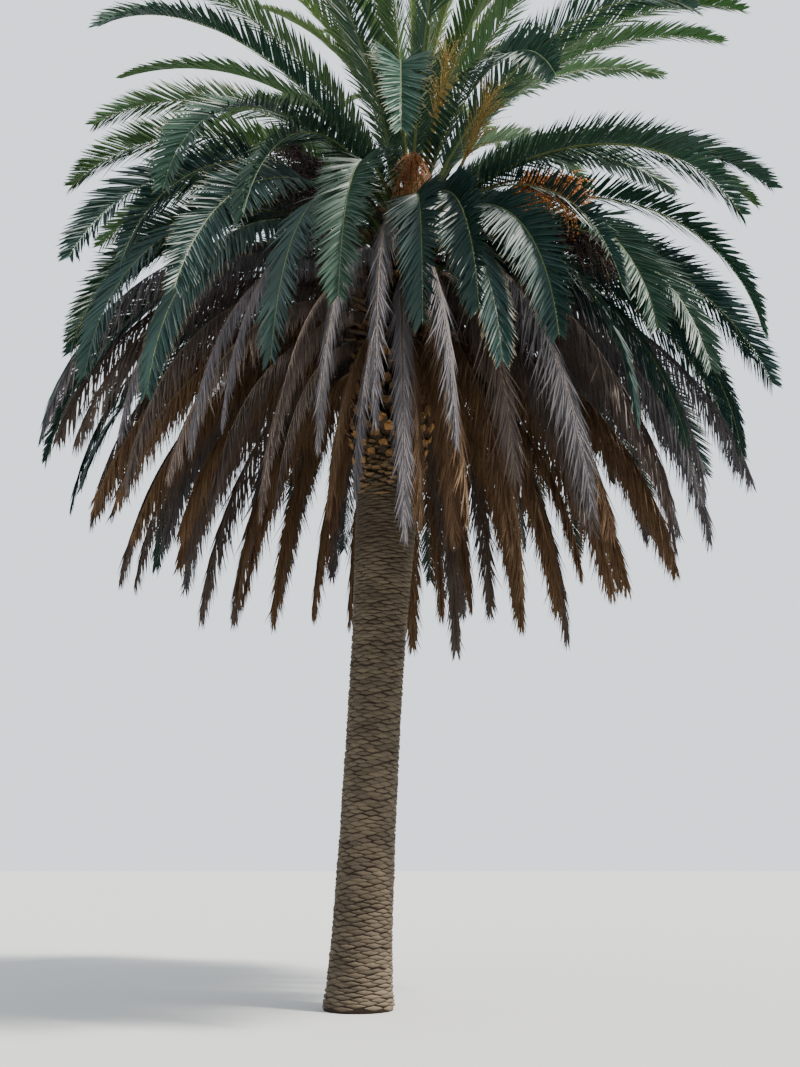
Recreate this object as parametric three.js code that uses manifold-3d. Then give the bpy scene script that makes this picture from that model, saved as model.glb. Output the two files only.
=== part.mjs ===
// A Canary Island date palm: one leaning trunk, a collar of old leaf bases under the crown, a skirt of dead
// fronds, a crown of arching green fronds with a heart of young ones, and fruit stalks between them.
// Millimetres, +Z up. The origin is the centre of the flat cut at ground level, and the front faces -Y.

import * as THREE from "three";
import { mergeVertices } from "three/addons/utils/BufferGeometryUtils.js";
import Module from "manifold-3d";

const wasm = await Module();
wasm.setup();

// Driving dimensions
const clearance = 0.3; // between solids that meet
const spare = 4; // between leaflets of different nodes
const trunkHeight = 11350;
const trunkSides = 16;
const trunkStations = {
  height: [0, 260, 800, 2000, 3400, 4500, 5600, 6500, 7300, 8400, 9400, 10100, 10700, 11150, trunkHeight],
  radius: [436, 402, 372, 352, 348, 358, 398, 438, 460, 458, 445, 415, 355, 250, 130],
};
const lean = 0.043; // sideways run per unit of height
const leanCurve = 1.2e-6; // and what the lean gains with height squared

const goldenAngle = 137.508; // degrees from one leaf to the next
const firstAzimuth = -40.23; // degrees, of leaf 0
const rowStep = 8; // leaves this many apart stand side by side, so they share a pad
// How the crown is dealt out, from the oldest leaves up: rounds of pads, with so many leaves on each pad
const rounds = [
  { kind: "dead", padLeaves: 3 },
  { kind: "dead", padLeaves: 4 },
  { kind: "dead", padLeaves: 4 },
  { kind: "green", padLeaves: 4 },
  { kind: "green", padLeaves: 4 },
  { kind: "green", padLeaves: 4 },
];
const heartLeaves = 16;
const paddedLeaves = rounds.reduce((sum, round) => sum + rowStep * round.padLeaves, 0);
const leafCount = paddedLeaves + heartLeaves;

// How a leaf grows, from the oldest (youth 0) to the youngest (youth 1)
const growth = {
  youth: [0, 0.165, 0.33, 0.44, 0.52, 0.626, 0.733, 0.765, 0.813, 0.9, 1],
  foot: [8430, 8900, 9370, 9680, 9940, 10280, 10600, 10700, 10850, 11120, 11320], // height of its foot
  launch: [0, 6, 11, 14, 16, 19, 24, 40, 52, 67, 84], // angle above the horizon at the foot, degrees
  tip: [-88, -87, -86, -85, -84, -82, -78, -60, -46, -12, 55], // the same at the tip
  turn: [0.5, 0.6, 0.72, 0.8, 0.86, 0.94, 1.02, 1.1, 1.2, 1.4, 1.5], // under 1 the turn comes near the foot
  length: [4100, 5200, 5750, 6000, 6000, 5800, 5550, 5500, 5400, 5400, 4600],
  leaflet: [600, 630, 640, 620, 600, 600, 600, 600, 580, 530, 420], // longest leaflet
  slant: [30, 34, 36, 38, 44, 48, 46, 42, 38, 33, 27], // of the leaflets, from the rib, degrees
  keel: [-12, -10, -6, -2, 12, 22, 26, 30, 32, 36, 40], // how far the leaflets rise above flat, degrees
  sag: [0.9, 0.9, 0.9, 0.7, 0.15, 0.08, 0.05, 0, 0, 0, 0], // how far they hang, as a share of their length
};
const sway = 7; // most sideways turn of a leaf, degrees
const roll = 66; // most twist of a leaf, degrees, most of it near the foot
// How far one leaf may differ from its neighbours
const uneven = { length: 0.07, launch: 5, heartLaunch: 3, tip: 7, turn: 0.12 };
const curveSteps = 48;
const leafRib = { share: [0, 0.13, 1], width: [60, 28, 8], depth: [32, 20, 6] }; // half sizes
const fruitRib = { share: [0, 0.6, 1], width: [28, 24, 14], depth: [16, 14, 12] };

// Steps of the curve at which a rib has its sections: those of its bare stalk, then toothed stretches from
// the blade's start to its end. Each stretch has a tooth on so many of the rib's three faces.
const bladeEnd = 46;
const makeUp = {
  dead: { stalk: [], bladeStart: 6, teeth: 3, toothedFaces: 2, rib: leafRib, scale: 1 },
  green: { stalk: [], bladeStart: 6, teeth: 4, toothedFaces: 2, rib: leafRib, scale: 1 },
  heart: { stalk: [], bladeStart: 6, teeth: 4, toothedFaces: 2, rib: leafRib, scale: 0.5 },
  fruit: { stalk: [12, 24], bladeStart: 32, teeth: 4, toothedFaces: 3, rib: fruitRib, scale: 1 },
};

// Where the crown isn't even, and what that does to the leaves of a kind near an azimuth: degrees for the
// launch and the tip, shares for the rest. In front the dead leaves hang close and the older green ones start
// low, the oldest of those are short, on the left the dead ones spread, left of the front they shrank to
// tassels.
const unevenPlaces = [
  { kind: "dead", azimuth: -68, spread: 34, turn: -0.35 },
  {
    kind: "green",
    azimuth: -68,
    spread: 34,
    youngest: 0.687,
    launch: -28,
    tip: -6,
    turn: 0.25,
    length: -0.04,
  },
  { kind: "green", azimuth: -76, spread: 12, youngest: 0.494, launch: 10, tip: 6, length: -0.18 },
  { kind: "dead", azimuth: 178, spread: 48, launch: 11, tip: 3 },
  { kind: "dead", azimuth: -112, spread: 28, shrink: 0.42 },
];

// Leaflet lengths swell and fall along the blade as part of a sine wave: a least share, and the wave's ends.
const swell = { least: 0.25, from: 0.12, to: 0.92 };
const slantAtFoot = 1.25; // the leaflets' slant near a leaf's foot and its tip, as shares of its own
const slantAtTip = 0.75;
const lastLeaflet = 0.5; // how far the last leaflet carries the rib on, as a share of the longest

const pad = { halfWidth: 68, halfDepth: 42, end: 78, leafDepth: 16 };

const collarBottom = 7080;
const collarTop = 8300;
const collarDepth = 48;
const stubCount = 24;
const stub = { length: 235, rise: 34, rootWidth: 92, tipWidth: 66, rootDepth: 36, tipDepth: 22, sink: 20 };
const stubUneven = { length: 0.2, rise: 8 };
const stubMargins = { top: 70, bottom: 90 }; // from the collar's edges to the first and last stub

const leavesToNextAbove = 21;
const strand = { turn: 1.2, sway: 0, roll: 0, leaflet: 430, slant: 42, keel: 30, sag: 0 };
const fruitStalks = [
  { fruit: "orange", leaf: 102, launch: 10, tip: -35, length: 2900 },
  { fruit: "orange", leaf: 123, launch: 20, tip: -60, length: 2900 },
  { fruit: "orange", leaf: 141, launch: 25, tip: -60, length: 1800 },
  { fruit: "orange", leaf: 128, launch: 30, tip: 50, length: 2300 },
  { fruit: "orange", leaf: 115, launch: 5, tip: 50, length: 2300 },
  { fruit: "orange", leaf: 111, launch: 10, tip: -35, length: 2900 },
  { fruit: "dried", leaf: 125, launch: 30, tip: -60, length: 2300 },
  { fruit: "dried", leaf: 91, launch: 5, tip: 20, length: 2300 },
  { fruit: "dried", leaf: 110, launch: -5, tip: -35, length: 2900 },
];

const heart = { radius: 118, topRadius: 70, height: 260, sides: 10 };
// Feet of the heart's leaves: a ring that closes in from one leaf to the next, and rises
const heartFeet = { ring: 62, closing: 0.4, height: 60, rise: 12 };

const colours = {
  trunk: 0x6b5444,
  collar: 0x8a6234,
  green: 0x3f5f33,
  dead: 0x7a5a44,
  orange: 0xc0702c,
  dried: 0x453238,
};

// Shared sums
const degrees = Math.PI / 180;
const up = new THREE.Vector3(0, 0, 1);

// A number from 0 to 1 that looks random and is the same on every run. Another seed gives another such palm.
const seed = 168;
const modulus = 997;

function scatter(index, salt) {
  const n = index + seed;
  return ((n * n * 131 + n * 311 + salt * 733) % modulus) / modulus;
}

function interpolate(places, values, place) {
  let i = 1;
  while (i < places.length - 1 && places[i] < place) i += 1;
  const share = (place - places[i - 1]) / (places[i] - places[i - 1]);
  return THREE.MathUtils.lerp(values[i - 1], values[i], THREE.MathUtils.clamp(share, 0, 1));
}

// A number from -most to most that is scattered in the same way
const vary = (index, salt, most) => (scatter(index, salt) - 0.5) * 2 * most;
const azimuthOf = (index) => firstAzimuth + index * goldenAngle;
const youthOf = (index) => (index + 0.5) / leafCount;
const grown = (what, youth) => interpolate(growth.youth, growth[what], youth);
const radiusAt = (z) => interpolate(trunkStations.height, trunkStations.radius, z);
const leanAt = (z) => lean * z + leanCurve * z * z;
const wrapped = (angle) => THREE.MathUtils.euclideanModulo(angle + 180, 360) - 180;

function outward(azimuth) {
  return new THREE.Vector3(Math.cos(azimuth * degrees), Math.sin(azimuth * degrees), 0);
}

// What the uneven places do to a leaf.
function shifted(what, kind, youth, azimuth) {
  return unevenPlaces
    .filter((place) => place.kind === kind && youth < (place.youngest ?? 1))
    .map((place) => (place[what] ?? 0) * Math.exp(-((wrapped(azimuth - place.azimuth) / place.spread) ** 2)))
    .reduce((sum, part) => sum + part, 0);
}

// The point of the trunk's skin at an azimuth and height.
function onTrunk(azimuth, z) {
  return outward(azimuth).multiplyScalar(radiusAt(z)).add(new THREE.Vector3(leanAt(z), 0, z));
}

// The trunk's outward direction there.
function trunkNormal(azimuth, z) {
  const step = 40;
  const taper = (radiusAt(z + step) - radiusAt(z - step)) / (2 * step);
  const leaning = (leanAt(z + step) - leanAt(z - step)) / (2 * step);
  return outward(azimuth)
    .addScaledVector(up, -taper - leaning * Math.cos(azimuth * degrees))
    .normalize();
}

// Solids
function solidFrom(points, triangles) {
  const vertProperties = new Float32Array(points.flatMap((p) => p.toArray()));
  const make = (faces) =>
    new wasm.Manifold(new wasm.Mesh({ numProp: 3, vertProperties, triVerts: new Uint32Array(faces.flat()) }));
  const made = make(triangles);
  return made.volume() > 0 ? made : make(triangles.map(([a, b, c]) => [a, c, b]));
}

function solidOf(geometry) {
  const bare = geometry.toNonIndexed();
  bare.deleteAttribute("normal");
  bare.deleteAttribute("uv");
  const merged = mergeVertices(bare, 1e-3);
  const vertProperties = merged.attributes.position.array;
  const triVerts = new Uint32Array(merged.index.array);
  return new wasm.Manifold(new wasm.Mesh({ numProp: 3, vertProperties, triVerts }));
}

// Points that a join leaves closer than this become one, and its needless ones go.
const finest = 0.1;

function geometryOf(solid) {
  const mesh = solid.asOriginal().simplify(finest).getMesh();
  return new THREE.BufferGeometry()
    .setAttribute("position", new THREE.BufferAttribute(new Float32Array(mesh.vertProperties), 3))
    .setIndex(new THREE.BufferAttribute(new Uint32Array(mesh.triVerts), 1));
}

const solidSum = (solids) => solids.reduce((sum, made) => sum.add(made));

// A section's corners: shares of its half width along side and of its half depth along top.
const threeSided = [
  [1, -1],
  [0, 1],
  [-1, -1],
];
const fourSided = [
  [1, 1],
  [-1, 1],
  [-1, -1],
  [1, -1],
];

function sectionCorners({ middle, side, top, width, depth }, shape) {
  return shape.map(([a, b]) =>
    middle
      .clone()
      .addScaledVector(side, a * width)
      .addScaledVector(top, b * depth),
  );
}

// A bar through its sections. Where tips holds a point for a face of a stretch, the face rises to it as a
// pyramid, and where end is given the bar comes to a point there.
function barSolid(sections, shape, tips = [], end = null) {
  const sides = shape.length;
  const points = sections.flatMap((section) => sectionCorners(section, shape));
  const triangles = [];
  const close = (ring) => {
    ring.slice(2).forEach((corner, i) => triangles.push([ring[0], ring[i + 1], corner]));
  };
  const raise = (ring, tip) => {
    const apex = points.push(tip) - 1;
    ring.forEach((corner, i) => triangles.push([corner, ring[(i + 1) % ring.length], apex]));
  };
  const ringAt = (k) => shape.map((_, j) => k * sides + j);
  close(ringAt(0).reverse());
  for (let k = 0; k < sections.length - 1; k += 1) {
    for (let j = 0; j < sides; j += 1) {
      const next = (j + 1) % sides;
      const ring = [ringAt(k)[j], ringAt(k)[next], ringAt(k + 1)[next], ringAt(k + 1)[j]];
      const tip = tips[k]?.[j];
      if (tip) raise(ring, tip);
      else close(ring);
    }
  }
  const last = ringAt(sections.length - 1);
  if (end) raise(last, end);
  else close(last);
  return solidFrom(points, triangles);
}

// Keeping leaflets clear of other nodes: each piece is a small convex shape, told apart by a parting plane
function convexPiece(points) {
  return { points, box: new THREE.Box3().setFromPoints(points).expandByScalar(spare) };
}

function barPieces(sections, shape) {
  const corners = sections.map((section) => sectionCorners(section, shape));
  return corners.slice(1).map((ring, k) => convexPiece([...corners[k], ...ring]));
}

// A piece is a bar's stretch, with as many corners at each end, or a pyramid on a four-sided face.
function edgesOf(points) {
  const loop = (ring) => ring.map((p, i) => ring[(i + 1) % ring.length].clone().sub(p));
  const pyramid = points.length === 5;
  const base = points.slice(0, pyramid ? 4 : points.length / 2);
  const far = points.slice(base.length);
  const rising = base.map((p, i) => far[pyramid ? 0 : i].clone().sub(p));
  return [...loop(base), ...rising, ...(pyramid ? [] : loop(far))];
}

function partedAlong(axis, a, b) {
  const length = axis.length();
  if (length < 1e-3) return false;
  const reach = (points) => {
    const along = points.map((p) => p.dot(axis) / length);
    return [Math.min(...along), Math.max(...along)];
  };
  const [lowA, highA] = reach(a.points);
  const [lowB, highB] = reach(b.points);
  return lowA - highB > spare || lowB - highA > spare;
}

function touching(a, b) {
  if (!a.box.intersectsBox(b.box)) return false;
  a.edges ??= edgesOf(a.points);
  b.edges ??= edgesOf(b.points);
  for (const set of [a.edges, b.edges]) {
    for (let i = 0; i < set.length; i += 1) {
      for (let j = i + 1; j < set.length; j += 1) {
        if (partedAlong(set[i].clone().cross(set[j]), a, b)) return false;
      }
    }
  }
  return !a.edges.some((e) => b.edges.some((f) => partedAlong(e.clone().cross(f), a, b)));
}

// Trunk: a lathe of its taper, leaned over
function leaned(geometry) {
  const position = geometry.attributes.position;
  for (let i = 0; i < position.count; i += 1) position.setX(i, position.getX(i) + leanAt(position.getZ(i)));
  return geometry;
}

function trunkSolid(extra) {
  const top = trunkHeight + extra;
  const skin = trunkStations.height.map((z, i) => new THREE.Vector2(trunkStations.radius[i] + extra, z));
  skin.at(-1).y = top;
  const profile = [new THREE.Vector2(0, 0), ...skin, new THREE.Vector2(0, top)];
  return solidOf(leaned(new THREE.LatheGeometry(profile, trunkSides).rotateX(Math.PI / 2)));
}

// Collar of old leaf bases: a sleeve on the trunk with a stub for each leaf that has gone
function collarSolid() {
  const rows = [collarBottom, (collarBottom + collarTop) / 2, collarTop];
  const outer = rows.map((z) => new THREE.Vector2(radiusAt(z) + collarDepth, z));
  const inner = [collarTop, collarBottom].map((z) => new THREE.Vector2(radiusAt(z) - collarDepth, z));
  const profile = [...outer, ...inner, outer[0]];
  const sleeve = solidOf(leaned(new THREE.LatheGeometry(profile, trunkSides).rotateX(Math.PI / 2)));
  return solidSum([sleeve, ...stubs.map((sections) => barSolid(sections, fourSided))]);
}

// The stubs carry the leaves' spiral on downwards, so they count from -1.
function stubSections(index) {
  const azimuth = azimuthOf(index);
  const stubRange = collarTop - collarBottom - stubMargins.top - stubMargins.bottom;
  const z = collarTop - stubMargins.top + (index * stubRange) / stubCount;
  const rise = (stub.rise + vary(index, 7, stubUneven.rise)) * degrees;
  const length = stub.length * (1 + vary(index, 8, stubUneven.length));
  const away = outward(azimuth);
  const side = new THREE.Vector3().crossVectors(up, away);
  const along = away.clone().multiplyScalar(Math.cos(rise)).addScaledVector(up, Math.sin(rise));
  const top = new THREE.Vector3().crossVectors(along, side);
  const root = onTrunk(azimuth, z).addScaledVector(along, -stub.sink);
  const end = root.clone().addScaledVector(along, length);
  return [
    { middle: root, side, top, width: stub.rootWidth, depth: stub.rootDepth },
    { middle: end, side, top, width: stub.tipWidth, depth: stub.tipDepth },
  ];
}

// One leaf: where it grows, and how it bends
function leafLaw(index, kind) {
  const youth = youthOf(index);
  const azimuth = azimuthOf(index);
  const shift = (what) => shifted(what, kind, youth, azimuth);
  return {
    index,
    kind,
    azimuth,
    foot: grown("foot", youth),
    length: grown("length", youth) * (1 + vary(index, 1, uneven.length)) * (1 + shift("length")),
    launch:
      grown("launch", youth) + vary(index, 2, uneven[`${kind}Launch`] ?? uneven.launch) + shift("launch"),
    tip: Math.max(grown("tip", youth) + vary(index, 3, uneven.tip) + shift("tip"), -90),
    turn: grown("turn", youth) * (1 + vary(index, 4, uneven.turn)) * (1 + shift("turn")),
    sway: vary(index, 5, sway),
    roll: vary(index, 6, roll),
    leaflet: grown("leaflet", youth) * (1 - shift("shrink")),
    slant: grown("slant", youth) * (1 - shift("shrink")),
    keel: grown("keel", youth),
    sag: grown("sag", youth),
  };
}

// Where a rib starts: in the heart, in the leaf's pad or, for fruit, under the trunk's skin.
function ribStart(leaf) {
  if (leaf.kind === "heart") {
    const place = leaf.index - paddedLeaves;
    const height = trunkHeight + heartFeet.height + heartFeet.rise * place;
    return outward(leaf.azimuth)
      .multiplyScalar(heartFeet.ring * (1 - (heartFeet.closing * place) / heartLeaves))
      .add(new THREE.Vector3(leanAt(trunkHeight), 0, height));
  }
  const depth = leaf.kind === "fruit" ? -pad.leafDepth : pad.leafDepth;
  return onTrunk(leaf.azimuth, leaf.foot).addScaledVector(trunkNormal(leaf.azimuth, leaf.foot), depth);
}

// Points and directions along the rib, evenly spaced.
function leafCourse(leaf) {
  const course = [];
  const at = ribStart(leaf);
  for (let i = 0; i <= curveSteps; i += 1) {
    const share = i / curveSteps;
    const rise = (leaf.launch + (leaf.tip - leaf.launch) * share ** leaf.turn) * degrees;
    const away = outward(leaf.azimuth + leaf.sway * share * share);
    const along = away.clone().multiplyScalar(Math.cos(rise)).addScaledVector(up, Math.sin(rise));
    const twist = leaf.roll * Math.sqrt(share) * degrees;
    const side = new THREE.Vector3().crossVectors(up, away).applyAxisAngle(along, twist);
    const top = new THREE.Vector3().crossVectors(along, side);
    course.push({ middle: at.clone(), along, side, top });
    at.addScaledVector(along, leaf.length / curveSteps);
  }
  return course;
}

function leafSections(leaf) {
  const { stalk, bladeStart, teeth, rib, scale } = makeUp[leaf.kind];
  const course = leafCourse(leaf);
  if (leaf.kind === "dead" || leaf.kind === "green") {
    // The foot lies flat in its pad, along the trunk's skin.
    course[0].top.crossVectors(trunkNormal(leaf.azimuth, leaf.foot), course[0].side);
  }
  const blade = Array.from({ length: teeth + 1 }, (_, k) =>
    Math.round(THREE.MathUtils.lerp(bladeStart, bladeEnd, k / teeth)),
  );
  return [0, ...stalk, ...blade].map((i) => {
    const share = i / curveSteps;
    const width = interpolate(rib.share, rib.width, share) * scale;
    const depth = interpolate(rib.share, rib.depth, share) * scale;
    return { ...course[i], share, width, depth, toothed: i >= bladeStart };
  });
}

// How long the leaflets are along the blade, as a share of the longest.
function leafletShare(kind, share) {
  if (kind === "fruit") return 1;
  const start = makeUp[kind].bladeStart / curveSteps;
  const phase = THREE.MathUtils.mapLinear(share, start, 1, swell.from, swell.to);
  return THREE.MathUtils.lerp(swell.least, 1, Math.sin(Math.PI * phase));
}

// The directions of the teeth on a rib's three faces: right flank, left flank and underside
const toothFaces = [
  (keel) => [Math.cos(keel), Math.sin(keel)],
  (keel) => [-Math.cos(keel), Math.sin(keel)],
  () => [0, -1],
];

// The point of the tooth on one face of the rib between two sections.
function toothPoint(leaf, a, b, face, size) {
  const share = (a.share + b.share) / 2;
  const length = leaf.leaflet * leafletShare(leaf.kind, share) * size;
  const slant = leaf.slant * THREE.MathUtils.lerp(slantAtFoot, slantAtTip, share) * degrees;
  const [across, rising] = toothFaces[face](leaf.keel * degrees);
  const ahead = a.along
    .clone()
    .multiplyScalar(Math.cos(slant))
    .addScaledVector(a.side, Math.sin(slant) * across)
    .addScaledVector(a.top, Math.sin(slant) * rising)
    .addScaledVector(up, -leaf.sag)
    .normalize();
  return a.middle.clone().lerp(b.middle, 0.5).addScaledVector(ahead, length);
}

// A tooth's point stands at least this far in front of its face of the rib, so that no tooth is inside out.
const leastRise = 60;

function inFront(tip, base, inner) {
  const centre = base.reduce((sum, p) => sum.add(p), new THREE.Vector3()).divideScalar(base.length);
  const diagonal = base[3].clone().sub(base[1]);
  const out = base[2].clone().sub(base[0]).cross(diagonal).normalize();
  if (out.dot(centre.clone().sub(inner)) < 0) out.negate();
  const rise = out.dot(tip.clone().sub(centre));
  return rise < leastRise ? tip.clone().addScaledVector(out, leastRise - rise) : tip;
}

// Gives each toothed stretch its points: shorter where they would touch another node, and none where they
// still would.
const toothSizes = [1, 0.82, 0.66, 0.5, 0.36, 0.24];

function growTeeth(leaf, node, obstacles) {
  leaf.tips = leaf.sections.slice(1).map((section, k) => {
    const before = leaf.sections[k];
    if (!before.toothed) return [];
    const rings = [before, section].map((s) => sectionCorners(s, threeSided));
    const middle = before.middle.clone().lerp(section.middle, 0.5);
    const tips = [];
    for (let face = 0; face < makeUp[leaf.kind].toothedFaces; face += 1) {
      const next = (face + 1) % 3;
      const base = [rings[0][face], rings[0][next], rings[1][next], rings[1][face]];
      for (const size of toothSizes) {
        const tip = inFront(toothPoint(leaf, before, section, face, size), base, middle);
        const piece = convexPiece([...base, tip]);
        if (obstacles.some((other) => other.node !== node && touching(other, piece))) continue;
        obstacles.push({ ...piece, node });
        tips[face] = tip;
        break;
      }
    }
    return tips;
  });
}

function leafSolid(leaf) {
  const last = leaf.sections.at(-1);
  const end = last.middle.clone().addScaledVector(last.along, leaf.leaflet * lastLeaflet);
  return barSolid(leaf.sections, threeSided, leaf.tips, end);
}

// Pad: a bar on the trunk that runs under the feet of its leaves
function padSolid(leaves) {
  const [first, second] = leaves;
  const turn = wrapped(second.azimuth - first.azimuth);
  const place = (n) => [first.azimuth + turn * n, grown("foot", youthOf(first.index + rowStep * n))];
  const end = pad.end / onTrunk(...place(0)).distanceTo(onTrunk(...place(1)));
  const last = leaves.length - 1;
  const sections = [-end, last / 2, last + end].map((n) => {
    const top = trunkNormal(...place(n));
    const ahead = onTrunk(...place(n + 0.05)).sub(onTrunk(...place(n - 0.05)));
    const side = new THREE.Vector3().crossVectors(top, ahead).normalize();
    return { middle: onTrunk(...place(n)), side, top, width: pad.halfWidth, depth: pad.halfDepth };
  });
  return barSolid(sections, fourSided).subtract(trunkSkin);
}

// The heart: a short cone on the trunk's tip, with the youngest leaves in it
function heartCone() {
  const geometry = new THREE.CylinderGeometry(heart.topRadius, heart.radius, heart.height, heart.sides)
    .rotateX(Math.PI / 2)
    .translate(leanAt(trunkHeight), 0, trunkHeight + clearance + heart.height / 2);
  return solidOf(geometry);
}

// Fruit stalks: each grows out between the four leaves around it, half way up from one leaf to the next above
function fruitLaw({ leaf, launch, tip, length }) {
  const above = leaf + leavesToNextAbove;
  return {
    kind: "fruit",
    azimuth: azimuthOf(leaf) + wrapped(azimuthOf(above) - azimuthOf(leaf)) / 2,
    foot: (grown("foot", youthOf(leaf)) + grown("foot", youthOf(above))) / 2,
    length,
    launch,
    tip,
    ...strand,
  };
}

// The scene graph
const group = new THREE.Group();

function addNode(name, solid, colour) {
  const material = new THREE.MeshStandardMaterial({ color: colour, roughness: 0.8, metalness: 0 });
  const mesh = new THREE.Mesh(geometryOf(solid), material);
  mesh.name = name;
  group.add(mesh);
}

const stubs = Array.from({ length: stubCount }, (_, k) => stubSections(-1 - k));
const trunkSkin = trunkSolid(clearance);
addNode("trunk", trunkSolid(0), colours.trunk);
addNode("leaf_base_collar", collarSolid().subtract(trunkSkin), colours.collar);

const families = [];
let firstIndex = 0;
for (const { kind, padLeaves } of rounds) {
  for (let k = 0; k < rowStep; k += 1) {
    const leaves = Array.from({ length: padLeaves }, (_, n) => leafLaw(firstIndex + k + n * rowStep, kind));
    families.push({ kind, leaves });
  }
  firstIndex += rowStep * padLeaves;
}
const heartFamily = Array.from({ length: heartLeaves }, (_, k) => leafLaw(paddedLeaves + k, "heart"));
families.push({ kind: "heart", leaves: heartFamily });
const fruitFamilies = fruitStalks.map((stalk) => ({ kind: stalk.fruit, leaves: [fruitLaw(stalk)] }));
families.unshift(...fruitFamilies);

const obstacles = stubs
  .flatMap((sections) => barPieces(sections, fourSided))
  .map((piece) => ({ ...piece, node: -1 }));
families.forEach(({ leaves }, node) => {
  leaves.forEach((leaf) => {
    leaf.sections = leafSections(leaf);
    barPieces(leaf.sections, threeSided).forEach((piece) => obstacles.push({ ...piece, node }));
  });
});
families.forEach(({ leaves }, node) => leaves.forEach((leaf) => growTeeth(leaf, node, obstacles)));

const nodeNames = {
  orange: "orange_fruit_stalk",
  dried: "dried_fruit_stalk",
  dead: "dead_fronds",
  green: "green_fronds",
};
const counts = { orange: 0, dried: 0, dead: 0, green: 0 };
families.forEach(({ kind, leaves }) => {
  const grownParts = solidSum(leaves.map(leafSolid));
  if (kind === "heart") {
    addNode("heart_fronds", grownParts.add(heartCone()), colours.green);
    return;
  }
  counts[kind] += 1;
  const name = `${nodeNames[kind]}_${String(counts[kind]).padStart(2, "0")}`;
  const fruit = leaves[0].kind === "fruit";
  const joined = fruit ? grownParts.subtract(trunkSkin) : padSolid(leaves).add(grownParts);
  addNode(name, joined, colours[kind]);
});

export default group;
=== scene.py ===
"""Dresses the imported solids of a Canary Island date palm: a trunk with its leaf scars, a collar of broken
leaf bases, fronds with every leaflet, the heart, the fruit and a stage. Metres, +Z up, the front faces -Y."""

import math

import bmesh
import bpy
import numpy as np
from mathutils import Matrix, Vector


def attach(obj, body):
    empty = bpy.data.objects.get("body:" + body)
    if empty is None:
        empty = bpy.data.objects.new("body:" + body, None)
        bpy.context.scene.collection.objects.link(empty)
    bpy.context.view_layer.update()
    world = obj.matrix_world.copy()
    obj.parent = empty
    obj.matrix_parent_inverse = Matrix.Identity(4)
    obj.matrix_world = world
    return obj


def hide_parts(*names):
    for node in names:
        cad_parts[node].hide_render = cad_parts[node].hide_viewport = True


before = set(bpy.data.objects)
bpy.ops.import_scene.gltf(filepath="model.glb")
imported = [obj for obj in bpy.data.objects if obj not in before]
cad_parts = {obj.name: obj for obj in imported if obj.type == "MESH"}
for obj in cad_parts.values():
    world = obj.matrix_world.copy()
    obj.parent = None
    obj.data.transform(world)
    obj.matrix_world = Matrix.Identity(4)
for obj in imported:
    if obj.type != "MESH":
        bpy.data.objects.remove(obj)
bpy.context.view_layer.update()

bl_info = {
    "name": "Canary Island Date Palm",
    "version": (1, 0, 0),
    "blender": (4, 5, 0),
    "location": "View3D > Sidebar > Palm",
    "description": "A date palm with leaf scars, fronds and fruit around its packed solids",
    "category": "Add Mesh",
}

# The tree's law, as in the source of its solids
TRUNK_HEIGHT = 11.35
TRUNK_Z = np.array([0, 0.26, 0.8, 2, 3.4, 4.5, 5.6, 6.5, 7.3, 8.4, 9.4, 10.1, 10.7, 11.15, TRUNK_HEIGHT])
TRUNK_RADIUS = np.array(
    [0.436, 0.402, 0.372, 0.352, 0.348, 0.358, 0.398, 0.438, 0.46, 0.458, 0.445, 0.415, 0.355, 0.25, 0.13]
)
LEAN = 0.043
LEAN_CURVE = 1.2e-3
GOLDEN_ANGLE = 137.508
FIRST_AZIMUTH = -40.23
ROW_STEP = 8
ROUNDS = (("dead", 3), ("dead", 4), ("dead", 4), ("green", 4), ("green", 4), ("green", 4))
HEART_LEAVES = 16
KINDS = [kind for kind, pad_leaves in ROUNDS for _ in range(ROW_STEP * pad_leaves)]
PADDED_LEAVES = len(KINDS)
DEAD_LEAVES = KINDS.count("dead")
LEAF_COUNT = PADDED_LEAVES + HEART_LEAVES
GROWTH = {
    "youth": (0, 0.165, 0.33, 0.44, 0.52, 0.626, 0.733, 0.765, 0.813, 0.9, 1),
    "foot": (8.43, 8.9, 9.37, 9.68, 9.94, 10.28, 10.6, 10.7, 10.85, 11.12, 11.32),
    "launch": (0, 6, 11, 14, 16, 19, 24, 40, 52, 67, 84),
    "tip": (-88, -87, -86, -85, -84, -82, -78, -60, -46, -12, 55),
    "turn": (0.5, 0.6, 0.72, 0.8, 0.86, 0.94, 1.02, 1.1, 1.2, 1.4, 1.5),
    "length": (4.1, 5.2, 5.75, 6, 6, 5.8, 5.55, 5.5, 5.4, 5.4, 4.6),
    "leaflet": (0.6, 0.63, 0.64, 0.62, 0.6, 0.6, 0.6, 0.6, 0.58, 0.53, 0.42),
    "slant": (30, 34, 36, 38, 44, 48, 46, 42, 38, 33, 27),
    "keel": (-12, -10, -6, -2, 12, 22, 26, 30, 32, 36, 40),
    "sag": (0.9, 0.9, 0.9, 0.7, 0.15, 0.08, 0.05, 0, 0, 0, 0),
}
SWAY = 7
ROLL = 66
UNEVEN = {"length": 0.07, "launch": 5, "heart_launch": 3, "tip": 7, "turn": 0.12}
CURVE_STEPS = 48
BLADE_START = 6 / CURVE_STEPS
SWELL = {"least": 0.25, "from": 0.12, "span": 0.8}
LEAF_RIB = {"share": (0, 0.13, 1), "width": (0.06, 0.028, 0.008), "depth": (0.032, 0.02, 0.006)}
FRUIT_RIB = {"share": (0, 0.6, 1), "width": (0.028, 0.024, 0.014), "depth": (0.016, 0.014, 0.012)}
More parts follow.
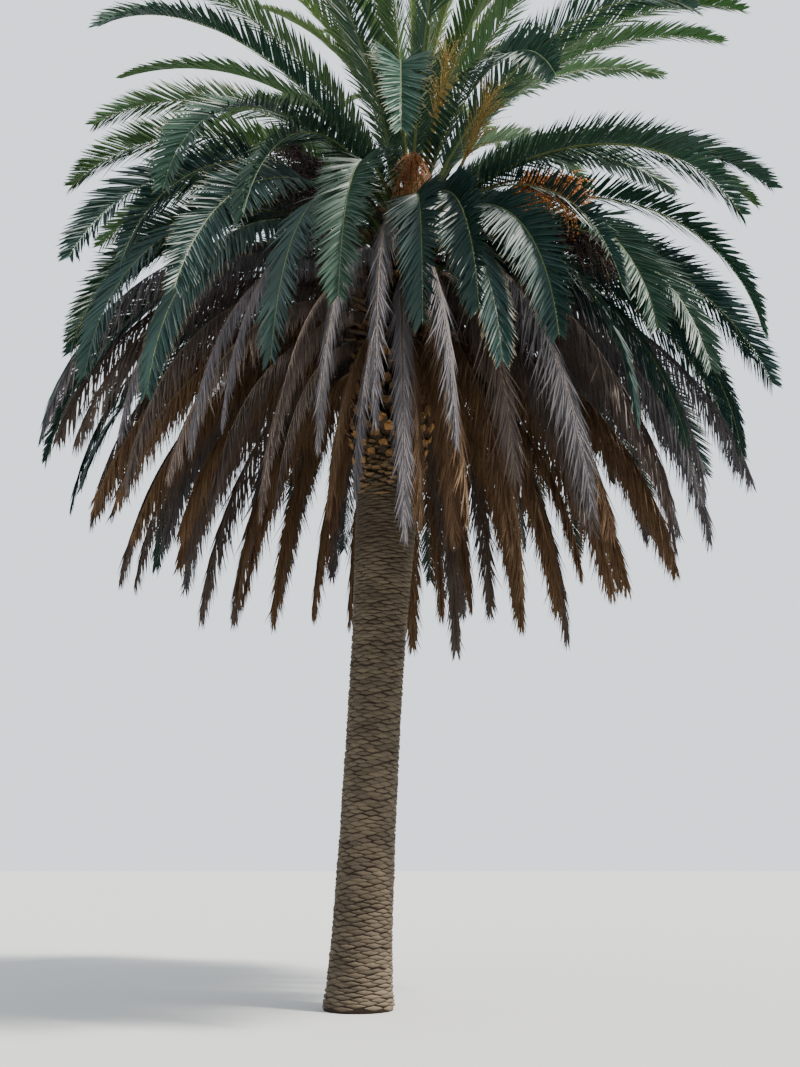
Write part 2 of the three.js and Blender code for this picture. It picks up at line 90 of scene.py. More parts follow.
# Where the crown isn't even, and what that does to the leaves of a kind near an azimuth
PLACES = (
    {"kind": "dead", "azimuth": -68, "spread": 34, "turn": -0.35},
    {"kind": "green", "azimuth": -68, "spread": 34, "youngest": 0.687, "launch": -28, "tip": -6, "turn": 0.25,
     "length": -0.04},
    {"kind": "green", "azimuth": -76, "spread": 12, "youngest": 0.494, "launch": 10, "tip": 6,
     "length": -0.18},
    {"kind": "dead", "azimuth": 178, "spread": 48, "launch": 11, "tip": 3},
    {"kind": "dead", "azimuth": -112, "spread": 28, "shrink": 0.42},
)
LEAF_DEPTH = 0.016  # how far a leaf's foot lies off the trunk's skin
COLLAR_BOTTOM = 7.08
COLLAR_TOP = 8.3
STUB_COUNT = 24
STUB = {"length": 0.235, "rise": 34, "root": (0.092, 0.036), "tip": (0.066, 0.022), "sink": 0.02}
STUB_UNEVEN = {"length": 0.2, "rise": 8}
STUB_MARGINS = {"top": 0.07, "both": 0.16}
LEAVES_TO_NEXT_ABOVE = 21
FRUIT_TURN = 1.2
# Their looks, the leaf below each, launch, tip and length
FRUIT_STALKS = (
    ("bright", 102, 10, -35, 2.9),
    ("bright", 123, 20, -60, 2.9),
    ("rust", 141, 25, -60, 1.8),
    ("gold", 128, 30, 50, 2.3),
    ("gold", 115, 5, 50, 2.3),
    ("bright", 111, 10, -35, 2.9),
    ("dried", 125, 30, -60, 2.3),
    ("dried", 91, 5, 20, 2.3),
    ("dried", 110, -5, -35, 2.9),
)
HEART_FEET = {"ring": 0.062, "closing": 0.4, "height": 0.06, "rise": 0.012}
SEED = 168  # another one gives another such palm
MODULUS = 997

# How each kind of bunch is: its share of strands and how long and how far sagging they are, how many fruit a
# strand bears, and their size
BUNCHES = {
    "bright": {"strands": 1.0, "reach": 1.0, "wilt": 0.4, "each": 10, "size": 1.0},
    "rust": {"strands": 0.65, "reach": 1.25, "wilt": 1.3, "each": 9, "size": 0.85},
    "gold": {"strands": 0.6, "reach": 1.1, "wilt": 0.15, "each": 3, "size": 0.6},
    "dried": {"strands": 1.1, "reach": 1.3, "wilt": 0.65, "each": 8, "size": 1.0},
}
BUNCH_ROOM = 0.38  # leaflets keep this far from the middle of a bunch
BUNCH_SHARES = np.array([0.75, 0.9, 1.0])  # where along a stalk its bunch has its middles

# What the scene adds to it
UP = np.array([0.0, 0.0, 1.0])
# Heights of the rings of the trunk's core, close together where it flares
CORE_RINGS = np.concatenate([np.linspace(0, 0.8, 9), np.linspace(0.9, TRUNK_HEIGHT, 100)])
CORE_SIDES = 72
CORE_ROUGH = 0.004

# A leaf scar: the skin of the trunk that it takes, and its width and height as shares of its diamond, which
# the spiral's 8th and 13th neighbours span (turn, slope, rise). Then how it stands out, and how scars differ.
SCAR = {
    "area": 0.0092, "width": (1.2, 0.85, 1.12), "height": (0.84, 0.8, 1.12), "turn": 0.0451, "slope": -0.8,
    "rise": 10.5, "proud": (0.75, 1.15), "sunk": -0.01, "lip": 0.002, "shear": 0.4, "tilt": 0.03,
    "bulge": 0.07, "stray": (1.2, 0.005),
}
# What is added to it where the top of the trunk gets ragged
RAGGED = {"from": 6.25, "to": 6.6, "narrower": 0.68, "lower": 0.2, "proud": 2.4, "lip": 0.016, "tilt": 0.9}
RAGGED_BULGE = 3
RAGGED_PALE = 0.95
SCARS_FROM = 0.03
SCARS_ABOVE_COLLAR = 0.08
CROWN_SHADE_HEIGHTS = (5.2, 6.1)  # the crown's shade, painted into the bark: none below these heights, darkest above
SCAR_STEPS = ((0.96, 0.86, 0.55), (0.82, 0.6, 0.9))  # each rises from the last: width, height and how high

# Broken leaf bases: how ragged they are, and the shade under the crown that darkens them
BASE = {"torn": 0.1, "slanted": 1.3, "knobs": 0.06, "shaded": 1.8, "shaded_from": 7.35, "shaded_over": 0.35}
# Rows of small ones: their lowest and highest place, and their size. The first has as many as a user sets.
COLLAR_ROW = {"low": COLLAR_BOTTOM - 0.35, "high": COLLAR_TOP, "size": 1.0}
CROWN_ROW = {"low": COLLAR_TOP, "high": TRUNK_HEIGHT - 0.15, "size": 0.85}
CROWN_ROW_COUNT = 190
SMALL_BASE = {"root": (0.085, 0.042), "tip": (0.074, 0.036), "sink": 0.03, "turn": 70}
FROND_BASE = {"root": (0.095, 0.042), "tip": (0.062, 0.034), "length": 0.2, "sink": 0.05}

# Shares of a rib at which it has its rings, close together at its foot, and how much of its width it keeps
RIB_SHARES = np.array([0, 0.02, 0.045, 0.075, 0.11, *np.linspace(0.15, 0.985, 22)])
SLIM_RIB = {"share": (0.05, 0.2), "keep": 0.62}
SPINES = {"count": 13, "start": 0.04, "lengths": (0.05, 0.2), "width": 0.016}
DEAD_WIDTH = 0.027
YOUNG_WIDTH = 0.031

# Strands of fruit: where they leave the stalk, how they spread, how long and thick they are, where along them
# the first fruit hangs, and how far fruit stray
STRAND = {
    "from": (0.6, 0.985), "spread": (12, 52), "length": (0.3, 0.46), "thick": (0.0055, 0.005, 0.0045, 0.004),
    "first_fruit": 0.22, "stray": 0.011,
}
STALK_RINGS = 16

CAMERA = {"place": (0.49, -13.3, 1.6), "tilt": 17.8, "lens": 35}
KEY_LIGHT = {"from": (0.62, -0.3, 0.85), "angle": 7, "colour": (1.0, 0.96, 0.88)}
FLOOR_SIZE = 400


def scatter(index, salt):
    """A number from 0 to 1 that looks random and is the same on every run."""
    n = index + SEED
    return ((n * n * 131 + n * 311 + salt * 733) % MODULUS) / MODULUS


def grown(what, youth):
    return float(np.interp(youth, GROWTH["youth"], GROWTH[what]))


def youth_of(index):
    return (index + 0.5) / LEAF_COUNT


def on_spiral(index):
    """The azimuth of a leaf."""
    return FIRST_AZIMUTH + index * GOLDEN_ANGLE


def radius_at(z):
    return np.interp(z, TRUNK_Z, TRUNK_RADIUS)


def lean_at(z):
    return LEAN * z + LEAN_CURVE * z * z


def wrapped(angle):
    return (angle + 180) % 360 - 180


def shifted(what, kind, youth, azimuth):
    """What the crown's uneven places do to a leaf there."""
    total = 0.0
    for place in PLACES:
        if place["kind"] == kind and youth < place.get("youngest", 1):
            nearness = math.exp(-((wrapped(azimuth - place["azimuth"]) / place["spread"]) ** 2))
            total += place.get(what, 0) * nearness
    return total


def outward(azimuth):
    turn = np.radians(azimuth)
    return np.stack([np.cos(turn), np.sin(turn), np.zeros_like(turn)], axis=-1)


def on_trunk(azimuth, z, proud=0.0):
    """Points on the trunk's skin, or so far proud of it."""
    azimuth, z = np.broadcast_arrays(np.asarray(azimuth, float), np.asarray(z, float))
    points = outward(azimuth) * (radius_at(z) + proud)[..., None]
    points[..., 0] += lean_at(z)
    points[..., 2] += z
    return points


def trunk_normal(azimuth, z):
    step = 0.04
    taper = (radius_at(z + step) - radius_at(z - step)) / (2 * step)
    leaning = (lean_at(z + step) - lean_at(z - step)) / (2 * step)
    return unit(outward(azimuth) + UP * (-taper - leaning * math.cos(math.radians(azimuth))))


def unit(vectors):
    return vectors / np.linalg.norm(vectors, axis=-1, keepdims=True)


def turned(vector, axis, angle):
    """A vector turned about a unit axis at right angles to it."""
    return vector * math.cos(angle) + np.cross(axis, vector) * math.sin(angle)


class Rib:
    """The line of one leaf or fruit stalk by the tree's law, and the directions along it."""

    def __init__(self, index, kind, azimuth, foot, length, launch, tip, turn, sway=0.0, roll=0.0):
        self.index, self.kind, self.azimuth, self.foot = index, kind, azimuth, foot
        at = self.start()
        self.middle, self.along, self.side, self.top = (np.zeros((CURVE_STEPS + 1, 3)) for _ in range(4))
        for i in range(CURVE_STEPS + 1):
            share = i / CURVE_STEPS
            rise = math.radians(launch + (tip - launch) * share**turn)
            away = outward(azimuth + sway * share * share)
            self.along[i] = away * math.cos(rise) + UP * math.sin(rise)
            self.side[i] = turned(np.cross(UP, away), self.along[i], math.radians(roll * math.sqrt(share)))
            self.top[i] = np.cross(self.along[i], self.side[i])
            self.middle[i] = at
            at = at + self.along[i] * length / CURVE_STEPS

    def start(self):
        if self.kind == "heart":
            place = self.index - PADDED_LEAVES
            ring = HEART_FEET["ring"] * (1 - HEART_FEET["closing"] * place / HEART_LEAVES)
            height = TRUNK_HEIGHT + HEART_FEET["height"] + HEART_FEET["rise"] * place
            return outward(self.azimuth) * ring + np.array([lean_at(TRUNK_HEIGHT), 0, height])
        depth = -LEAF_DEPTH if self.kind == "fruit" else LEAF_DEPTH
        return on_trunk(self.azimuth, self.foot) + trunk_normal(self.azimuth, self.foot) * depth

    def at(self, shares):
        """Middles, and the directions along, to the side and to the top, at shares of the length."""
        steps = np.arange(CURVE_STEPS + 1) / CURVE_STEPS

        def between(values):
            return np.stack([np.interp(shares, steps, axis) for axis in values.T], axis=-1)

        return (between(self.middle), *(unit(between(v)) for v in (self.along, self.side, self.top)))


class Leaf(Rib):
    """A leaf, with the law of its leaflets."""

    def __init__(self, index, kind):
        youth = youth_of(index)
        azimuth = on_spiral(index)

        def vary(salt, most):
            return (scatter(index, salt) - 0.5) * 2 * most

        def shift(what):
            return shifted(what, kind, youth, azimuth)

        launch = UNEVEN["heart_launch" if kind == "heart" else "launch"]
        super().__init__(
            index,
            kind,
            azimuth,
            grown("foot", youth),
            grown("length", youth) * (1 + vary(1, UNEVEN["length"])) * (1 + shift("length")),
            grown("launch", youth) + vary(2, launch) + shift("launch"),
            max(grown("tip", youth) + vary(3, UNEVEN["tip"]) + shift("tip"), -90),
            grown("turn", youth) * (1 + vary(4, UNEVEN["turn"])) * (1 + shift("turn")),
            vary(5, SWAY),
            vary(6, ROLL),
        )
        self.youth = youth
        self.shrink = shift("shrink")
        self.leaflet, self.slant = (grown(what, youth) * (1 - self.shrink) for what in ("leaflet", "slant"))
        self.keel, self.sag = (grown(what, youth) for what in ("keel", "sag"))

    def leaflet_lengths(self, shares):
        phase = SWELL["from"] + SWELL["span"] * (shares - BLADE_START) / (1 - BLADE_START)
        return self.leaflet * (SWELL["least"] + (1 - SWELL["least"]) * np.sin(np.pi * phase))


def fruit_rib(leaf, launch, tip, length):
    """A fruit stalk grows out between the four leaves around it."""
    above = leaf + LEAVES_TO_NEXT_ABOVE
    azimuth = on_spiral(leaf)
    turn = wrapped(on_spiral(above) - azimuth)
    foot = (grown("foot", youth_of(leaf)) + grown("foot", youth_of(above))) / 2
    return Rib(leaf, "fruit", azimuth + turn / 2, foot, length, launch, tip, FRUIT_TURN)


def crown():
    """Every leaf with a pad, oldest first."""
    return [Leaf(index, kind) for index, kind in enumerate(KINDS)]


# Meshes
def placed(name, data):
    """A new object in the scene."""
    item = bpy.data.objects.new(name, data)
    bpy.context.scene.collection.objects.link(item)
    return item


class Heap:
    """Gathers copies of small shapes into one mesh."""

    def __init__(self):
        self.points, self.shades, self.alongs, self.corners, self.looks = [], [], [], [], []
        self.count = 0

    def add(self, points, shape, shade=0.5, along=0.0, look=0):
        """Adds a shape once for each row of points. shade and look are for a copy, along for a point."""
        copies, each = points.shape[:2]
        starts = self.count + each * np.arange(copies)
        look = np.broadcast_to(look, (copies,))
        for corners, looks in shape:
            self.corners.append((corners[None] + starts[:, None, None]).reshape(-1, corners.shape[1]))
            self.looks.append((looks[None] + look[:, None]).ravel())
        self.points.append(points.reshape(-1, 3))
        self.shades.append(np.repeat(np.broadcast_to(shade, (copies,)), each))
        self.alongs.append(np.tile(np.broadcast_to(along, (each,)), copies))
        self.count += copies * each

    def piece(self, name, materials, slot, nodes, smooth=False):
        """Makes the mesh a piece that stands for CAD nodes."""
        sizes = np.concatenate([np.full(len(c), c.shape[1]) for c in self.corners])
        loops = np.concatenate([c.ravel() for c in self.corners])
        mesh = bpy.data.meshes.new(name)
        mesh.vertices.add(self.count)
        mesh.vertices.foreach_set("co", np.concatenate(self.points).astype(np.float32).ravel())
        mesh.loops.add(len(loops))
        mesh.loops.foreach_set("vertex_index", loops.astype(np.int32))
        mesh.polygons.add(len(sizes))
        mesh.polygons.foreach_set("loop_start", (np.cumsum(sizes) - sizes).astype(np.int32))
        mesh.polygons.foreach_set("material_index", np.concatenate(self.looks).astype(np.int32))
        mesh.polygons.foreach_set("use_smooth", np.full(len(sizes), smooth))
        for attribute, values in (("shade", self.shades), ("along", self.alongs)):
            layer = mesh.attributes.new(attribute, "FLOAT", "POINT")
            layer.data.foreach_set("value", np.concatenate(values).astype(np.float32))
        mesh.update(calc_edges=True)
        mesh.validate()
        for material in materials:
            mesh.materials.append(material)
        piece = placed(name, mesh)
        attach(piece, "root")
        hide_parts(*nodes)
        return piece


def shape_of(bm):
    """A bmesh's points, and its faces by their number of corners with the look of each."""
    bm.verts.index_update()
    points = np.array([vertex.co for vertex in bm.verts])
    sorted_faces = {}
    for face in bm.faces:
        corners, looks = sorted_faces.setdefault(len(face.verts), ([], []))
        corners.append([vertex.index for vertex in face.verts])
        looks.append(face.material_index)
    bm.free()
    return points, [(np.array(corners), np.array(looks)) for corners, looks in sorted_faces.values()]


def bar_shape(sections, sides):
    """The faces of a bar through its sections that ends in a point."""
    ring = np.arange(sides)
    after = (ring + 1) % sides
    rows = np.arange(sections - 1)[:, None] * sides
    quads = np.stack([rows + ring, rows + after, rows + sides + after, rows + sides + ring], axis=-1)
    last = (sections - 1) * sides
    tip = np.stack([last + ring, last + after, np.full(sides, last + sides)], axis=-1)
    parts = (quads.reshape(-1, 4), tip, ring[::-1][None])
    return [(corners, np.zeros(len(corners), int)) for corners in parts]


def bar_points(middles, sides, tops, widths, depths, section, tip):
    """Points of bars: middles and directions are (bars, sections, 3), widths and depths (bars, sections)."""
    across = widths[..., None] * section[:, 0]
    over = depths[..., None] * section[:, 1]
    rings = middles[..., None, :] + sides[..., None, :] * across[..., None]
    rings = rings + tops[..., None, :] * over[..., None]
    return np.concatenate([rings.reshape(len(middles), -1, 3), tip[:, None]], axis=1)


def round_section(sides):
    turn = 2 * np.pi * np.arange(sides) / sides
    return np.stack([np.cos(turn), np.sin(turn)], axis=-1)


# The top of a rib is ridged and its back is rounded.
RIB_SECTION = np.array([[1, -0.3], [0.55, 0.45], [0, 0.8], [-0.55, 0.45], [-1, -0.3], [0, -1]])


def leaflet_shape(stations):
    """The faces of a leaflet folded along its middle: three points at each station, and the tip."""
    rows = 3 * np.arange(stations - 1)[:, None]
    quads = np.concatenate([rows + [0, 1, 4, 3], rows + [1, 2, 5, 4]])
    last = 3 * (stations - 1)
    tips = np.array([[last, last + 1, last + 3], [last + 1, last + 2, last + 3]])
    return [(quads, np.zeros(len(quads), int)), (tips, np.zeros(2, int))]


# Materials
class Wiring:
    """Adds nodes to a tree and joins them. A source is a value, or the output of another node."""

    def __init__(self, tree):
        self.tree = tree

    def feed(self, node, name, source):
        if isinstance(source, bpy.types.NodeSocket):
            self.tree.links.new(source, node.inputs[name])
        else:
            node.inputs[name].default_value = source

    def add(self, kind, sources=None, **options):
        node = self.tree.nodes.new(kind)
        for name, value in options.items():
            setattr(node, name, value)
        for name, source in (sources or {}).items():
            self.feed(node, name, source)
        return node

    def mixed(self, share, first, second):
        """A colour between two, by a share."""
        return self.add("ShaderNodeMix", {0: share, 6: first, 7: second}, data_type="RGBA").outputs[2]

    def maths(self, operation, *sources):
        return self.add("ShaderNodeMath", dict(enumerate(sources)), operation=operation).outputs[0]

    def ranged(self, source, low, high, to_low=0.0, to_high=1.0):
        """A source whose range from low to high is brought to another one."""
        sources = {"Value": source, "From Min": low, "From Max": high, "To Min": to_low, "To Max": to_high}
        return self.add("ShaderNodeMapRange", sources).outputs[0]

    def noise(self, place, scale, detail, roughness=0.5):
        sources = {"Vector": place, "Scale": scale, "Detail": detail, "Roughness": roughness}
        return self.add("ShaderNodeTexNoise", sources).outputs["Fac"]

    def attribute(self, name):
        return self.add("ShaderNodeAttribute", attribute_name=name).outputs["Fac"]


def new_group(name, inputs, outputs):
    """A node group with sockets of these kinds, its wiring, and the node that holds its inputs."""
    group = bpy.data.node_groups.new(name, "ShaderNodeTree")
    for way, sockets in (("INPUT", inputs), ("OUTPUT", outputs)):
        for label, kind in sockets.items():
            group.interface.new_socket(name=label, in_out=way, socket_type=f"NodeSocket{kind}")
    wiring = Wiring(group)
    return group, wiring, wiring.add("NodeGroupInput")


def weathered_grain():
    """Wood and fibre: a light and a dark colour in streaks, darker where the shape's own shade is low; on the
    bark and the leaf bases that shade also holds painted shade.
    """
    inputs = {"Light": "Color", "Dark": "Color", "Scale": "Float", "Stretch": "Vector"}
    group, wiring, entry = new_group("weathered_grain", inputs, {"Colour": "Color", "Height": "Float"})
    place = wiring.add("ShaderNodeTexCoord").outputs["Object"]
    stretch = {0: place, 1: entry.outputs["Stretch"]}
    stretched = wiring.add("ShaderNodeVectorMath", stretch, operation="MULTIPLY").outputs[0]
    streaks = wiring.noise(stretched, entry.outputs["Scale"], detail=6.0, roughness=0.62)
    patches = wiring.noise(place, 2.3, detail=3.0)
    own = wiring.attribute("shade")
    streaked = wiring.ranged(streaks, 0.3, 0.7, 0.0, 0.62)
    mask = wiring.maths("ADD", streaked, wiring.ranged(patches, 0.35, 0.65, -0.15, 0.2))
    mask = wiring.maths("ADD", mask, wiring.ranged(own, 0.0, 1.0, -0.22, 0.36))
    colour = wiring.mixed(mask, entry.outputs["Dark"], entry.outputs["Light"])
    wiring.add("NodeGroupOutput", {"Colour": colour, "Height": streaks})
    return group


def blade_tone():
    """A leaflet's colour: its own base, no two quite alike, drying at its tip."""
    inputs = {"Base": "Color", "Tip": "Color", "Dry from": "Float"}
    outputs = {"Colour": "Color", "Roughness": "Float", "Height": "Float"}
    group, wiring, entry = new_group("blade_tone", inputs, outputs)
    place = wiring.add("ShaderNodeTexCoord").outputs["Object"]
    own = wiring.attribute("shade")
    patches = wiring.noise(place, 1.7, detail=4.0)
    fine = wiring.noise(place, 90.0, detail=3.0)
    bright = wiring.maths("MULTIPLY_ADD", own, 0.52, 0.72)
    bright = wiring.maths("ADD", bright, wiring.ranged(patches, 0.3, 0.7, -0.12, 0.12))
    bright = wiring.maths("ADD", bright, wiring.ranged(fine, 0.3, 0.7, -0.06, 0.06))
    along = wiring.maths("ADD", wiring.attribute("along"), wiring.ranged(own, 0.0, 1.0, -0.1, 0.1))
    dry = wiring.ranged(along, entry.outputs["Dry from"], 1.05)
    hue = wiring.ranged(own, 0.0, 1.0, 0.488, 0.515)
    tone = {"Color": entry.outputs["Base"], "Value": bright, "Hue": hue}
    base = wiring.add("ShaderNodeHueSaturation", tone).outputs[0]
    colour = wiring.mixed(dry, base, entry.outputs["Tip"])
    roughness = wiring.ranged(patches, 0.3, 0.7, 0.42, 0.58)
    wiring.add("NodeGroupOutput", {"Colour": colour, "Roughness": roughness, "Height": fine})
    return group


def colour_of(values):
    return (*values, 1.0)


def times(colour, factor):
    return tuple(factor * c for c in colour)


def new_material(name):
    material = bpy.data.materials.new(name)
    material.use_nodes = True
    wiring = Wiring(material.node_tree)
    shader = material.node_tree.nodes["Principled BSDF"]
    return material, wiring, shader


def group_material(name, make_group, inputs, strength, relief):
    """A material whose colour and relief come from a node group, which is made once."""
    material, wiring, shader = new_material(name)
    group = bpy.data.node_groups.get(make_group.__name__) or make_group()
    outputs = wiring.add("ShaderNodeGroup", inputs, node_tree=group).outputs
    bumps = {"Strength": strength, "Distance": relief, "Height": outputs["Height"]}
    wiring.feed(shader, "Base Color", outputs["Colour"])
    wiring.feed(shader, "Normal", wiring.add("ShaderNodeBump", bumps).outputs[0])
    return material, wiring, shader, outputs


def grain_material(name, light, dark, scale, stretch, roughness=0.85, relief=0.004):
    inputs = {"Light": colour_of(light), "Dark": colour_of(dark), "Scale": scale, "Stretch": stretch}
    material, wiring, shader, _ = group_material(name, weathered_grain, inputs, 0.7, relief)
    wiring.feed(shader, "Roughness", roughness)
    wiring.feed(shader, "Specular IOR Level", 0.3)
    return material


def blade_material(name, base, tip, dry_from, matt=None):
    """A leaflet's finish: waxy, or as matt as it is told."""
    inputs = {"Base": colour_of(base), "Tip": colour_of(tip), "Dry from": dry_from}
    material, wiring, shader, outputs = group_material(name, blade_tone, inputs, 0.35, 0.001)
    wiring.feed(shader, "Roughness", matt or outputs["Roughness"])
    wiring.feed(shader, "Specular IOR Level", 0.25 if matt else 0.36)
    return material


def nodes_named(start):
    return sorted(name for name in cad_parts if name.startswith(start))


# The settings that a user would change
def colour_setting(name, description, default):
    return bpy.props.FloatVectorProperty(
        name=name, description=description, subtype="COLOR", size=3, min=0, max=1, default=default
    )


def length_setting(name, description, default):
    return bpy.props.FloatProperty(name=name, description=description, default=default, unit="LENGTH")


def strength_setting(name, description, default):
    return bpy.props.FloatProperty(name=name, description=description, default=default, min=0)


def count_setting(name, description, default, least, most):
    return bpy.props.IntProperty(name=name, description=description, default=default, min=least, max=most)


class PalmTrunkSettings(bpy.types.PropertyGroup):
    scar_depth: length_setting("Scar depth", "How far a leaf scar stands out of its groove", 0.026)
    stub_share: count_setting("Small stubs", "Broken leaf bases between the large ones", 150, 0, 1000)
    bark_light: colour_setting("Bark", "Face of a leaf scar", (0.12, 0.09, 0.058))
    bark_dark: colour_setting("Groove", "Fibre between the scars", (0.017, 0.01, 0.006))
    broken_end: colour_setting("Broken end", "Broken end of a leaf base", (0.4, 0.2, 0.055))


class PalmFrondSettings(bpy.types.PropertyGroup):
    leaflets: count_setting("Leaflets", "Leaflets on each side of a frond", 160, 10, 220)
    leaflet_width: length_setting("Leaflet width", "Widest part of a green leaflet", 0.036)
    deep: colour_setting("Deep green", "Fronds of the lower tier", (0.0055, 0.027, 0.021))
    middle: colour_setting("Middle green", "Fronds between the tiers", (0.011, 0.042, 0.023))
    light: colour_setting("Light green", "Fronds of the upper tier", (0.03, 0.08, 0.018))
    young: colour_setting("Young green", "Fronds of the heart", (0.075, 0.128, 0.02))
    rib: colour_setting("Rib", "Rib of a green frond", (0.1, 0.13, 0.035))
    # Dead tones by place on the skirt: grey high up is sun-bleached and also painted sunlight; brown and rust
    # lower in are the fronds' own browns, made darker as painted shade
    dead_grey: colour_setting("Dead grey", "Dead fronds that the sun has bleached", (0.095, 0.086, 0.092))
    dead_brown: colour_setting("Dead brown", "Dead fronds in the shade", (0.082, 0.06, 0.051))
    dead_rust: colour_setting("Dead rust", "Dead fronds deep in the skirt", (0.105, 0.057, 0.028))


class PalmFruitSettings(bpy.types.PropertyGroup):
    strands: count_setting("Strands", "Strands in a bunch", 150, 10, 300)
    fruit: length_setting("Fruit", "Length of a fruit", 0.032)
    bright: colour_setting("Bright orange", "Ripe fruit in the sun", (0.46, 0.15, 0.02))
    rust: colour_setting("Rust", "Fruit past its best", (0.24, 0.072, 0.014))
    gold: colour_setting("Gold", "Unripe fruit and its strands", (0.36, 0.26, 0.065))
    dried: colour_setting("Dried", "Dried fruit", (0.03, 0.018, 0.024))


class PalmStageSettings(bpy.types.PropertyGroup):
    floor: colour_setting("Floor", "Colour of the floor", (0.4, 0.4, 0.385))
    sun: strength_setting("Key light", "Strength of the soft key light", 11.5)
    fill: strength_setting("Fill light", "Strength of the light all round", 1.6)


def settings(name):
    return getattr(bpy.context.scene, name)


def colours_of(chosen, names, start=""):
    return [(name, getattr(chosen, start + name)) for name in names]


# Trunk
def trunk_core(depth):
    """The fibre that the scars stand on, as a lathe of bmesh rings with a flat foot."""
    bm = bmesh.new()
    ring = bmesh.ops.create_circle(bm, cap_ends=True, segments=CORE_SIDES, radius=1)["verts"]
    edges = bm.edges[:]
    rings = [ring]
    for _ in CORE_RINGS[1:]:
        made = bmesh.ops.extrude_edge_only(bm, edges=edges)["geom"]
        edges = [item for item in made if isinstance(item, bmesh.types.BMEdge)]
        rings.append([item for item in made if isinstance(item, bmesh.types.BMVert)])
    draw = np.random.default_rng(5)
    for z, ring in zip(CORE_RINGS, rings):
        for vertex in ring:
            azimuth = math.degrees(math.atan2(vertex.co.y, vertex.co.x))
            rough = 0 if z in (0, TRUNK_HEIGHT) else draw.uniform(-CORE_ROUGH, CORE_ROUGH)
            vertex.co = on_trunk(azimuth, z, rough - depth)
    bmesh.ops.contextual_create(bm, geom=edges)
    bmesh.ops.recalc_face_normals(bm, faces=bm.faces)
    return shape_of(bm)


def scar_plate():
    """One leaf scar, a lens one unit either way that rises in steps to a blunt ridge."""
    bm = bmesh.new()
    bmesh.ops.create_circle(bm, cap_ends=True, segments=10, radius=1)
    for vertex in bm.verts:
        vertex.co.y = math.copysign(max(1 - abs(vertex.co.x) ** 1.35, 0), vertex.co.y)
    lifted = bm.faces[:]
    for width, height, z in SCAR_STEPS:
        made = bmesh.ops.extrude_face_region(bm, geom=lifted)["geom"]
        bmesh.ops.delete(bm, geom=lifted, context="FACES_ONLY")
        lifted = [item for item in made if isinstance(item, bmesh.types.BMFace)]
        for vertex in lifted[0].verts:
            x, y = vertex.co.x, vertex.co.y
            vertex.co = (x * width, y * height, z)
    bmesh.ops.poke(bm, faces=lifted, offset=0.1)
    bmesh.ops.recalc_face_normals(bm, faces=bm.faces)
    return shape_of(bm)


def stub_block():
    """One broken leaf base, along +Z from 0 to 1: a rounded bar with a ragged broken end."""
    bm = bmesh.new()
    bmesh.ops.create_cone(bm, cap_ends=True, segments=10, radius1=1, radius2=1, depth=1)
    bmesh.ops.translate(bm, verts=bm.verts, vec=(0, 0, 0.5))
    upright = [edge for edge in bm.edges if abs(edge.verts[0].co.z - edge.verts[1].co.z) > 0.5]
    bmesh.ops.subdivide_edges(bm, edges=upright, cuts=2)
    end = [face for face in bm.faces if all(vertex.co.z > 0.99 for vertex in face.verts)]
    bmesh.ops.inset_region(bm, faces=end, thickness=0.16)
    bmesh.ops.poke(bm, faces=end)
    for vertex in bm.verts:
        # Squarer than an ellipse, and flat underneath
        vertex.co.x = math.copysign(abs(vertex.co.x) ** 0.7, vertex.co.x)
        vertex.co.y = math.copysign(abs(vertex.co.y) ** (0.7 if vertex.co.y > 0 else 0.5), vertex.co.y)
    for face in bm.faces:
        if all(vertex.co.z > 0.99 for vertex in face.verts):
            face.material_index = 1
    bmesh.ops.recalc_face_normals(bm, faces=bm.faces)
    return shape_of(bm)


def scar_rise(z):
    """How far a scar stands above the next one down."""
    return SCAR["area"] / (2 * np.pi * radius_at(z))


